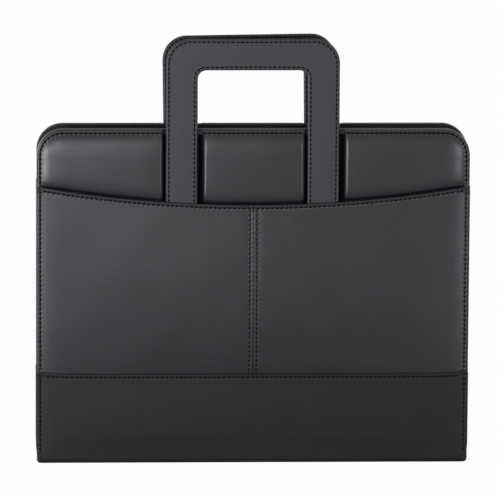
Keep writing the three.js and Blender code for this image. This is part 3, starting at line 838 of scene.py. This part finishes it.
def band_half(name, side):
    path = band_path()
    rings, seams = [], []
    for x in spread(-HALF_W, HALF_W, 3.5):
        out, z, ny, nz = path.T
        on_front = ny > 0.999
        relief = np.where(on_front, band_relief(np.full(len(z), x), z), 0)
        relief_low = band_relief(np.array(x), np.array(FOLD_R)) * np.clip(ny, 0, 1)
        relief = np.where(on_front, relief, relief_low)
        low = lowest(np.array(x))
        lift = curl(x, BAND_TOP - z) * on_front
        outer_z = np.maximum(z + lift, low)
        outer = np.stack([np.full(len(z), x), side * (out + ny * relief), outer_z], -1)
        inner_z = np.maximum(np.where(on_front, z, z - nz * BAND_T), low + BAND_T * 0.9)
        inner_out = np.where(on_front, out - BAND_T + 0.02, out - ny * (BAND_T - 0.02))
        inner = np.stack([np.full(len(z), x), side * inner_out, inner_z + lift], -1)[::-1]
        rings.append(np.concatenate([outer, inner]))
        s = HALF_W - abs(x)
        rows = nearest((round_cover(np.full(len(z), x), z) / PITCH, np.full(len(z), s - SEAM_IN)),
                       (np.full(len(z), x / PITCH), np.where(on_front, BAND_TOP - z - BAND_SEAM, RIM_MARK)))
        seams.append(np.concatenate([np.stack(rows, -1), np.tile([0, RIM_MARK], (len(z), 1))]))
    return loft(name, rings, BAND, np.concatenate(seams))


BEND_START_Z = 12
for cover, side in SIDES.items():
    band = band_half(f"{cover}_band_leather", side)
    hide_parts(f"{cover}_band", "spine_band")
    start = (0, side * BAND_OUT * MM, BEND_START_Z * MM)
    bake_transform(band)
    print(band.name, len(band.data.polygons), "faces")

# %% [markdown]
# A handle is a flat strap: two layers of leather over a stiff core, sewn close to both edges. Its section
# is carried round the arch between the outer and the inner outline, whose corners have different centres.

# %% Handles
HANDLE_LOW, HANDLE_TOP = span("front_handle", "z")
HANDLE_SHIFT = sum(span("front_handle", "x")) / 2
HANDLE_Y = -sum(span("front_handle", "y")) / 2
HANDLE_HALF_T = (span("front_handle", "y")[1] - span("front_handle", "y")[0]) / 2
LEG_W, GRIP_H = 26.0, 25.8
OUTER_R, INNER_R = 20.0, 7.0
FOOT_H, FOOT_EXTRA = 12.0, 5.0
HANDLE_HALF = (span("front_handle", "x")[1] - span("front_handle", "x")[0]) / 2 - FOOT_EXTRA
STRAP_SEAM = 2.7
LEG_STEPS, TURN_STEPS, GRIP_STEPS = 56, 19, 14
BACK_DROP, BACK_LEAN = 1.3, math.radians(0.9)
LEAN_PIVOT_Z = (SHOULDER_Z + COVER_TOP) / 2
STRAP_NEAR = np.array([0, 0.1, 0.3, 0.6, 1.0, 1.4, 1.8, 2.15, 2.5, 2.9, 3.3, 3.8, 4.6, 6.5, 9.5])


def arch():
    """Pairs of outer and inner points from the left leg's foot over the top to the right leg's foot."""
    foot_top = HANDLE_LOW + FOOT_H
    inner_x = HANDLE_HALF - LEG_W
    outer_turn = (HANDLE_HALF - OUTER_R, HANDLE_TOP - OUTER_R)
    inner_turn = (inner_x - INNER_R, HANDLE_TOP - GRIP_H - INNER_R)
    wide, narrow = HANDLE_HALF + FOOT_EXTRA, inner_x - FOOT_EXTRA
    pairs = [((wide, z), (narrow, z)) for z in (HANDLE_LOW, foot_top - 0.02)]
    for t in np.linspace(0, 1, LEG_STEPS):
        outer = (HANDLE_HALF, foot_top + (outer_turn[1] - foot_top) * t)
        pairs.append((outer, (inner_x, foot_top + (inner_turn[1] - foot_top) * t)))
    for angle in np.radians(np.linspace(0, 90, TURN_STEPS)[1:]):
        c, s = math.cos(angle), math.sin(angle)
        outer = (outer_turn[0] + OUTER_R * c, outer_turn[1] + OUTER_R * s)
        pairs.append((outer, (inner_turn[0] + INNER_R * c, inner_turn[1] + INNER_R * s)))
    for t in np.linspace(0, 1, GRIP_STEPS)[1:]:
        outer = (outer_turn[0] * (1 - t), HANDLE_TOP)
        pairs.append((outer, (inner_turn[0] * (1 - t), HANDLE_TOP - GRIP_H)))
    right = np.array(pairs)
    left = right[::-1][1:].copy()
    left[..., 0] *= -1
    return np.concatenate([right, left])[::-1]


def strap_height(d):
    """Half thickness of the strap at a distance from its nearer edge."""
    bead = 0.12 * np.exp(-(((d - 1.5) / 0.7) ** 2))
    return HANDLE_HALF_T + roll(d, 1.2) + bead + 0.4 * groove(d - STRAP_SEAM, 0.65) + 0.1 * swell(d - 4, 6)


def lean(points):
    """Puts a point of a straight handle where the leaning back handle has it."""
    x, y, z = np.moveaxis(np.asarray(points, float), -1, 0)
    up = z - LEAN_PIVOT_Z
    c, s = math.cos(BACK_LEAN), math.sin(BACK_LEAN)
    return np.stack([(x - HANDLE_SHIFT) * c - up * s + HANDLE_SHIFT, y,
                     LEAN_PIVOT_Z - BACK_DROP + (x - HANDLE_SHIFT) * s + up * c], -1)


def strap_rows():
    """The two stitch rows as points across the arch: (x, z) of the outer row and of the inner row."""
    pairs = arch()[2:-2]
    width = np.linalg.norm(pairs[:, 0] - pairs[:, 1], axis=1)[:, None]
    share = STRAP_SEAM / width
    return pairs[:, 0] * (1 - share) + pairs[:, 1] * share, pairs[:, 1] * (1 - share) + pairs[:, 0] * share


def length_along(points):
    steps = np.linalg.norm(np.diff(points, axis=0), axis=1)
    return np.concatenate([[0], np.cumsum(steps)])


def strap(name, side):
    pairs = arch()
    rows = strap_rows()
    counts = [np.pad(length_along(row), 2, mode="edge") / PITCH for row in rows]
    rings, seams = [], []
    for i, (outer, inner) in enumerate(pairs):
        width = np.linalg.norm(outer - inner)
        from_outer = np.concatenate([STRAP_NEAR, [width / 2], (width - STRAP_NEAR)[::-1]])
        nearer = np.minimum(from_outer, width - from_outer)
        xz = outer + (inner - outer) * (from_outer / width)[:, None]
        height = strap_height(nearer)
        face = np.stack([xz[:, 0] + HANDLE_SHIFT, side * (HANDLE_Y + height), xz[:, 1]], -1)
        rear = np.stack([xz[:, 0] + HANDLE_SHIFT, side * (HANDLE_Y - height), xz[:, 1]], -1)[::-1]
        rings.append(np.concatenate([face, rear]))
        count = np.where(from_outer < width / 2, counts[0][i], counts[1][i])
        seam = np.stack([count, np.where(nearer < 0.2, RIM_MARK, nearer - STRAP_SEAM)], -1)
        seams.append(np.concatenate([seam, seam[::-1]]))
    if side > 0:
        rings = lean(rings)
    return loft(name, rings, STRAP, np.concatenate(seams))


for cover, side in SIDES.items():
    handle = strap(f"{cover}_handle_strap", side)
    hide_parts(f"{cover}_handle")
    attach(handle, f"{cover}_handle")
    print(handle.name, len(handle.data.polygons), "faces")

# %% [markdown]
# Stitches and zip teeth repeat along a path at a fixed pitch, which is what Geometry Nodes do well. The
# tree turns edges into a curve, samples it at the pitch and puts a capsule on each sample: along the path
# for a stitch, across it for a tooth. A sphere becomes a capsule when its two halves move apart.

# %% A tree that repeats a capsule along a path


def path_tree(name, across):
    tree = bpy.data.node_groups.new(name, "GeometryNodeTree")
    tree.interface.new_socket("Geometry", in_out="INPUT", socket_type="NodeSocketGeometry")
    for label in ("Pitch", "Length", "Radius", "Width", "Uneven"):
        tree.interface.new_socket(label, in_out="INPUT", socket_type="NodeSocketFloat")
    tree.interface.new_socket("Finish", in_out="INPUT", socket_type="NodeSocketMaterial")
    tree.interface.new_socket("Geometry", in_out="OUTPUT", socket_type="NodeSocketGeometry")
    graph = Graph(tree)
    source = tree.nodes.new("NodeGroupInput")
    given = {socket.name: Value(tree, socket) for socket in source.outputs if socket.name}
    curve = graph.node("GeometryNodeMeshToCurve", inputs={"Mesh": given["Geometry"]})
    even = graph.node("GeometryNodeResampleCurve", {"mode": "LENGTH"},
                      {"Curve": curve, "Length": given["Pitch"]})
    points = graph.node("GeometryNodeCurveToPoints", {"mode": "EVALUATED"}, {"Curve": even})
    tangent = Value(tree, points.socket.node.outputs["Tangent"])
    ball = graph.node("GeometryNodeMeshUVSphere",
                      inputs={"Segments": 6, "Rings": 5, "Radius": given["Radius"]})
    _, _, height = graph.parts(graph.node("GeometryNodeInputPosition"))
    apart = height.sign() * (given["Length"] * 0.5 - given["Radius"])
    offset = graph.node("ShaderNodeCombineXYZ", inputs={"Z": apart})
    capsule = graph.node("GeometryNodeSetPosition", inputs={"Geometry": ball, "Offset": offset})
    stretch = graph.node("ShaderNodeCombineXYZ", inputs={"X": given["Width"], "Y": 1.0, "Z": 1.0})
    quarter = (math.pi / 2, 0, 0) if across else (0, 0, 0)
    shaped = graph.node("GeometryNodeTransform",
                        inputs={"Geometry": capsule, "Scale": stretch, "Rotation": quarter})
    settings = {"axis": "Z", "pivot_axis": "Y" if across else "AUTO"}
    heading = graph.node("FunctionNodeAlignRotationToVector", settings, {"Vector": tangent})
    wobble = graph.node("FunctionNodeRandomValue", {"data_type": "FLOAT_VECTOR"},
                        {"Min": (-1, -1, -1), "Max": (1, 1, 1), "Seed": 7})
    turned = graph.node("ShaderNodeVectorMath", {"operation": "SCALE"},
                        {"Vector": wobble, "Scale": given["Uneven"]})
    twist = graph.node("FunctionNodeEulerToRotation", inputs={"Euler": turned})
    rotation = graph.node("FunctionNodeRotateRotation", {"rotation_space": "LOCAL"},
                          {"Rotation": heading, "Rotate By": twist})
    copies = graph.node("GeometryNodeInstanceOnPoints",
                        inputs={"Points": points, "Instance": shaped, "Rotation": rotation})
    real = graph.node("GeometryNodeRealizeInstances", inputs={"Geometry": copies})
    smooth = graph.node("GeometryNodeSetShadeSmooth", inputs={"Geometry": real})
    done = graph.node("GeometryNodeSetMaterial", inputs={"Geometry": smooth, "Material": given["Finish"]})
    result = tree.nodes.new("NodeGroupOutput")
    tree.links.new(done.socket, result.inputs[0])
    return tree


ALONG_PATH = path_tree("capsules_along_path", across=False)
ACROSS_PATH = path_tree("capsules_across_path", across=True)


JUST_UNDER = 0.9992  # rounding would lose a row's last capsule at the exact pitch, and the rest would drift


def repeated(name, rows, tree, material, **sizes):
    """Runs a tree on rows of points and gives the result as a plain mesh."""
    points = np.concatenate(rows) * MM
    edges, start = [], 0
    for row in rows:
        edges += [(i, i + 1) for i in range(start, start + len(row) - 1)]
        start += len(row)
    guide_mesh = bpy.data.meshes.new(f"{name}_guide")
    guide_mesh.from_pydata(points.tolist(), edges, [])
    guide = in_scene(f"{name}_guide", guide_mesh)
    modifier = guide.modifiers.new("repeat", "NODES")
    modifier.node_group = tree
    sizes["Finish"] = material
    sizes["Pitch"] *= JUST_UNDER
    for item in tree.interface.items_tree:
        if item.in_out == "INPUT" and item.name in sizes:
            modifier[item.identifier] = sizes[item.name]
    graph = bpy.context.evaluated_depsgraph_get()
    mesh = bpy.data.meshes.new_from_object(guide.evaluated_get(graph), depsgraph=graph)
    guide.modifiers.remove(modifier)
    bpy.data.objects.remove(guide)
    mesh.name = name
    mesh.materials.clear()
    mesh.materials.append(material)
    mesh.polygons.foreach_set("material_index", [0] * len(mesh.polygons))
    return in_scene(name, mesh)


def whole_stitches(points, along):
    """Cuts a row so that it starts and ends on a stitch, and samples it finely."""
    first, last = math.ceil(along[0] / PITCH), math.floor(along[-1] / PITCH)
    places = np.linspace(first * PITCH, last * PITCH, (last - first) * 3 + 1)
    return np.stack([np.interp(places, along, points[:, i]) for i in range(points.shape[1])], -1)


STITCH = {"Pitch": PITCH * MM, "Length": 2.35 * MM, "Radius": 0.66 * MM, "Width": 1.0, "Uneven": 0.06}
THREAD_LIFT = 0.02  # a thread's middle above the bottom of its groove
EDGE_THREAD = 0.35  # above GROOVE_LEVEL, for the rows round the covers' tops

# %% [markdown]
# The rows are sewn where the photograph shows them: round each cover, under the pocket's lip, on both
# sides of the pocket's middle seam, along the band, and near both edges of the handles.

# %% Stitches on the covers


def perimeter_points(inset):
    half_flat, rise_end, radius = HALF_W - COVER_R, COVER_TOP - COVER_R, COVER_R - inset
    left = [(-HALF_W + inset, z) for z in np.arange(0, rise_end, 1.0)]
    arc = [(-half_flat + radius * math.cos(a), rise_end + radius * math.sin(a))
           for a in np.radians(np.linspace(180, 90, 40))]
    top = [(x, COVER_TOP - inset) for x in np.arange(-half_flat + 1, half_flat, 1.0)]
    right = [(-x, z) for x, z in [*left, *arc][::-1]]
    return np.array([*left, *arc, *top, *right])


def sewn(xz, face, side, along):
    """A row of points on a face, from a stitch to a stitch."""
    cut = whole_stitches(xz, along)
    out = face(cut[:, 0], cut[:, 1]) + THREAD_LIFT
    return np.stack([cut[:, 0], side * out, cut[:, 1]], -1)


def runs(mask):
    """Start and end of each unbroken stretch of True."""
    edges = np.flatnonzero(np.diff(np.concatenate([[0], mask.astype(int), [0]])))
    return list(zip(edges[::2], edges[1::2]))


def cover_rows(side, seamed):
    line = perimeter_points(SEAM_IN)
    along = round_cover(line[:, 0], line[:, 1])
    x, z = line.T
    away = np.abs(x)
    in_channel = (away > CHANNEL_IN - 0.5) & (away < CHANNEL_OUT + 0.5) & (z > COVER_TOP - 9)
    zones = [
        ((z > LIP_SIDE_Z + 0.5) & ~in_channel, flat(GROOVE_LEVEL + EDGE_THREAD)),
        ((z < LIP_SIDE_Z - 3.5) & (z > BAND_TOP + 3.5), lambda x, z: pocket_face(x, z, seamed)),
    ]
    rows = []
    for mask, face in zones:
        for a, b in runs(mask):
            if b - a > 2 * PITCH:
                rows.append(sewn(line[a:b], face, side, along[a:b]))
    xs = np.arange(-HALF_W + 6.5, HALF_W - 6, 1.0)
    slope = 2 * LIP_SAG * xs / HALF_W**2
    under_lip = np.stack([xs, lip(xs) - LIP_SEAM * np.sqrt(1 + slope**2)], -1)
    rows.append(sewn(under_lip, lambda x, z: pocket_face(x, z, seamed), side, along_lip(xs)))
    if seamed:
        for way in (-1, 1):
            zs = np.arange(BAND_TOP + 2, lip(np.array(0.0)) - 1.5, 1.0)
            pair = np.stack([np.full(len(zs), way * (SEAM_HALF + CENTRE_SEAM)), zs], -1)
            rows.append(sewn(pair, lambda x, z: pocket_face(x, z, True), side, zs))
    return rows


def band_rows(side):
    xs = np.arange(-HALF_W + 7, HALF_W - 6, 1.0)
    rows = [sewn(np.stack([xs, BAND_TOP - BAND_SEAM + curl(xs, BAND_SEAM)], -1),
                 lambda x, z: band_face(x, np.full(len(x), BAND_TOP - BAND_SEAM)), side, xs)]
    for way in (-1, 1):
        zs = np.arange(9, BAND_TOP - 3, 1.0)
        beside_edge = np.stack([np.full(len(zs), way * (HALF_W - SEAM_IN)), zs], -1)
        rows.append(sewn(beside_edge, band_face, side, zs))
    return rows


for cover, side in SIDES.items():
    stitches = repeated(f"{cover}_cover_stitches", cover_rows(side, cover == "front") + band_rows(side),
                        ALONG_PATH, THREAD, **STITCH)
    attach(stitches, f"{cover}_cover")
    print(stitches.name, len(stitches.data.polygons), "faces")

# %% Stitches on the handles


def handle_rows(side):
    rows = []
    for line in strap_rows():
        along = length_along(line)
        for way in (-1, 1):
            level = side * (HANDLE_Y + way * (strap_height(STRAP_SEAM) + THREAD_LIFT))
            cut = whole_stitches(line, along)
            row = np.stack([cut[:, 0] + HANDLE_SHIFT, np.full(len(cut), level), cut[:, 1]], -1)
            rows.append(lean(row) if side > 0 else row)
    return rows


for cover, side in SIDES.items():
    stitches = repeated(f"{cover}_handle_stitches", handle_rows(side), ALONG_PATH, THREAD, **STITCH)
    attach(stitches, f"{cover}_handle")
    print(stitches.name, len(stitches.data.polygons), "faces")

# %% [markdown]
# The zip is a nylon coil sewn to a tape on each cover. Seen from outside it is a row of short ribs across
# the gap, and the two halves' ribs alternate, so one half starts half a pitch later. A cord behind the
# ribs closes the view between them.

# %% Zip teeth
TOOTH_PITCH = 1.4
TOOTH_REACH = 0.55  # past the middle plane, between the other half's teeth
ZIP_IN = 6.0  # from the cover's edge to the middle of the tape
COIL_OUT = span("back_zip_coil", "y")[1]
TOOTH = {"Pitch": TOOTH_PITCH * MM, "Length": (COIL_OUT + TOOTH_REACH) * MM, "Radius": 0.36 * MM,
         "Width": 2.6, "Uneven": 0.0}
# The cord's place in from the cover's edge, and out from the middle plane
CORD_IN, CORD_OUT = (ZIP_IN + 0.15, ZIP_IN + 0.7), (0.08, COIL_OUT)


def zip_cord(name, side):
    """The cord inside the coil closes the view between its turns."""
    (near, far), (low, high) = CORD_IN, CORD_OUT
    section = [(near, low), (near, high), (far, high), (far, low)]
    rings = [[(x - nx * inset, side * out, z - nz * inset) for inset, out in section]
             for (x, z), (nx, nz) in path_round_cover(COVER_LOW + 1)]
    return loft(name, rings, TAPE)


for cover, side in SIDES.items():
    line = perimeter_points(ZIP_IN)
    line = line[line[:, 1] > COVER_LOW + 1]
    along = length_along(line)
    start = TOOTH_PITCH / 2 if side > 0 else 0
    count = int(along[-1] / TOOTH_PITCH) - 1
    places = start + np.arange(2 * count + 1) * TOOTH_PITCH / 2
    x, z = (np.interp(places, along, line[:, i]) for i in (0, 1))
    middle = side * (COIL_OUT - TOOTH_REACH) / 2
    row = np.stack([x, np.full(len(x), middle), z], -1)
    teeth = repeated(f"{cover}_zip_teeth", [row], ACROSS_PATH, TEETH, **TOOTH)
    teeth = join(teeth, zip_cord(f"{cover}_zip_cord", side))
    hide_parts(f"{cover}_zip_coil")
    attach(teeth, f"{cover}_cover")
    print(teeth.name, len(teeth.data.polygons), "faces")

# %% [markdown]
# The pieces whose CAD shape is right keep it and get their finish here. Fittings, inner pockets, pen loop
# and binding have their sharp edges broken by a small bevel, once the loose triangles are welded.

# %% Finishes of the CAD pieces
NODE_FINISH = {
    BOARD: ["front_board", "back_board", "spine_board"],
    LINING: ["front_lining", "back_lining", "spine_lining", "document_pocket", "card_pocket_upper",
             "card_pocket_middle", "card_pocket_lower", "pad_pocket"],
    TAPE: ["front_zip_tape", "back_zip_tape"],
    METAL: ["zip_slider", "zip_pull", "zip_lower_stop", "zip_upper_stop"],
    PAPER: ["pad_sheets"],
    CARD: ["pad_card"],
    BINDING: ["pad_binding"],
    ELASTIC: ["pen_loop"],
}
for material, names in NODE_FINISH.items():
    for name in names:
        NODES[name].data.materials.clear()
        NODES[name].data.materials.append(material)


WELD_WITHIN = 0.00001  # metres
SHARP_ANGLE = math.radians(50)


def soften(name, width):
    weld = NODES[name].modifiers.new("weld", "WELD")
    weld.merge_threshold = WELD_WITHIN
    bevel = NODES[name].modifiers.new("bevel", "BEVEL")
    bevel.width = width * MM
    bevel.segments = 2
    bevel.limit_method = "ANGLE"
    bevel.angle_limit = SHARP_ANGLE


# Each bevel's width and its pieces
ROUNDED = {
    0.25: ["zip_slider", "card_pocket_upper", "card_pocket_middle", "card_pocket_lower", "pad_binding"],
    0.3: ["zip_pull", "zip_lower_stop", "zip_upper_stop", "document_pocket", "pad_pocket", "pen_loop"],
}
for width, names in ROUNDED.items():
    for name in names:
        soften(name, width)
given = [material.name for material in NODE_FINISH]
shown = {name: node for name, node in NODES.items() if not node.hide_render}
left_plain = [name for name, node in shown.items() if node.data.materials[0].name not in given]
print("CAD pieces without a finish:", left_plain)

# %% [markdown]
# The case stands in a plain studio. A small key lamp close in front on the left brightens the pocket's
# upper left. A larger lamp on each side lights the swells of the leather, the left one more strongly, and
# two behind keep the back readable. The surround is white to the camera and in reflections, and dimmer as
# a light. The floor looks nearly white and keeps the shadow.

# %% Floor, surround and lamps
LAMP_TINT = (0.93, 0.95, 1.0)
LAMP_AIM = Vector((0, 0, 0.17))
# For each lamp its place and size in metres, and its power in watts
LAMPS = {
    "key_lamp": ((-0.28, -0.9, 0.32), (0.24, 0.24), 2.9),
    "left_lamp": ((-0.86, -1.0, 0.12), (0.3, 0.5), 16),
    "right_lamp": ((0.75, -1.05, 0.2), (0.3, 0.5), 5),
    "back_left_lamp": ((-1.3, 1.3, 0.35), (0.5, 0.7), 16),
    "back_right_lamp": ((1.3, 1.3, 0.35), (0.5, 0.7), 16),
}


def soft_lamp(name, place, size, power):
    lamp = in_scene(name, bpy.data.lights.new(name, "AREA"))
    lamp.data.shape = "RECTANGLE"
    lamp.data.size, lamp.data.size_y = size
    lamp.data.energy = power
    lamp.data.color = LAMP_TINT
    lamp.visible_camera = False
    lamp.location = place
    aim = LAMP_AIM - Vector(place)
    lamp.rotation_mode = "QUATERNION"
    lamp.rotation_quaternion = aim.to_track_quat("-Z", "Y")


for name, (place, size, power) in LAMPS.items():
    soft_lamp(name, place, size, power)
print("lamps", len(LAMPS))

FLOOR_HALF, FLOOR_Z = 3.0, -0.0002  # metres
SHOWN_WHITE = 0.985  # share of the floor's look that is plain white, the rest takes shadow

floor_mesh = bpy.data.meshes.new("floor")
corners = [(-1, -1), (1, -1), (1, 1), (-1, 1)]
floor_mesh.from_pydata([(x * FLOOR_HALF, y * FLOOR_HALF, FLOOR_Z) for x, y in corners], [], [(0, 1, 2, 3)])
floor_plane = in_scene("floor", floor_mesh)
white_floor = Finish("white_floor", 0.9, 0.1)
white_floor.shader.inputs["Base Color"].default_value = (0.8, 0.8, 0.8, 1)
ray = white_floor.node("ShaderNodeLightPath", output="Is Camera Ray")
glow = white_floor.node("ShaderNodeEmission", inputs={"Color": (1, 1, 1, 1), "Strength": 1.0})
lit = Value(white_floor.tree, white_floor.shader.outputs[0])
mixed = white_floor.node("ShaderNodeMixShader", inputs={0: ray * SHOWN_WHITE, 1: lit, 2: glow})
output = white_floor.tree.nodes["Material Output"]
white_floor.tree.links.new(mixed.socket, output.inputs["Surface"])
floor_mesh.materials.append(white_floor.material)

AMBIENT = 0.5
world = bpy.data.worlds.new("surround")
bpy.context.scene.world = world
world.use_nodes = True
sky = Graph(world.node_tree)
path = sky.node("ShaderNodeLightPath", output="Is Camera Ray")
outputs = path.socket.node.outputs
seen = path.maths("MAXIMUM", path, Value(sky.tree, outputs["Is Glossy Ray"]))
seen = seen.maths("MAXIMUM", seen, Value(sky.tree, outputs["Is Transmission Ray"]))
strength = seen * (1 - AMBIENT) + AMBIENT
background = world.node_tree.nodes["Background"]
background.inputs["Color"].default_value = (1, 1, 1, 1)
world.node_tree.links.new(strength.socket, background.inputs["Strength"])
bpy.context.scene.view_settings.view_transform = "Standard"
